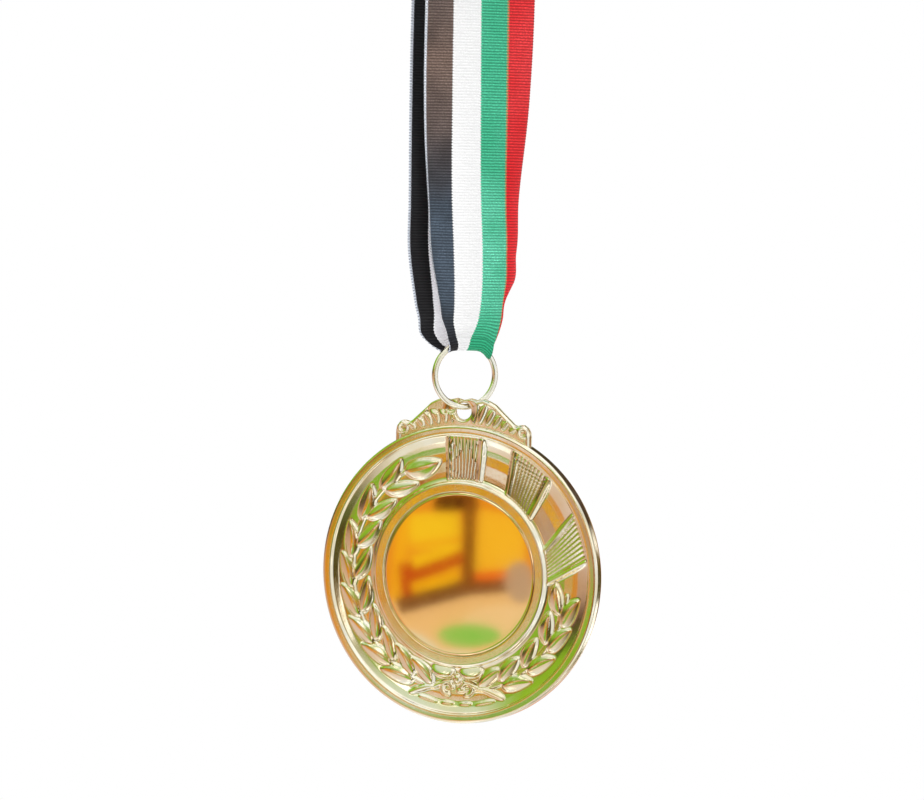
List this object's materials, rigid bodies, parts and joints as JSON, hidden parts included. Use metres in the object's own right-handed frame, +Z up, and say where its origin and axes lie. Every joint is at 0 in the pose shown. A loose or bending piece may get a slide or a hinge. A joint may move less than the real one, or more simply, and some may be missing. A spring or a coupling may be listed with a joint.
{
  "type": "neck medal",
  "caption": "Round cast medal with laurel and rayed relief, a mirror centre disc, a split wire ring and a striped woven neck ribbon.",
  "frame": {"origin": "inside of the ribbon loop's top bend, where the neck or a hook carries it", "axes": "+Z up, -Y the way the medal's front faces, +X to the right of someone facing the front"},
  "size_m": [0.065, 0.032, 0.1803],
  "materials": {
    "ribbon": "ribbed weave in black, white, green and red stripes",
    "seam_thread": "twisted polyester thread",
    "jump_ring": "pale gold plate",
    "medal_body": "bright gold plate",
    "centre_insert": "gold mirror",
    "insert_adhesive": "matt foam tape"
  },
  "bodies": {
    "ribbon": {"ribbon": "ribbon", "seam_thread": "seam_thread"},
    "ring": {"jump_ring": "jump_ring"},
    "medal": {"medal_body": "medal_body", "centre_insert": "centre_insert", "insert_adhesive": "insert_adhesive"}
  },
  "joints": [
    {"name": "ring_swing", "type": "hinge", "parent": "ribbon", "child": "ring", "pos_m": [0, 0, -0.09675], "axis": [0.7314, 0.682, 0], "range_deg": [-30, 30]},
    {"name": "medal_swing", "type": "hinge", "parent": "ring", "child": "medal", "pos_m": [0, 0, -0.11065], "axis": [0.7314, 0.682, 0], "range_deg": [-75, 75]}
  ]
}
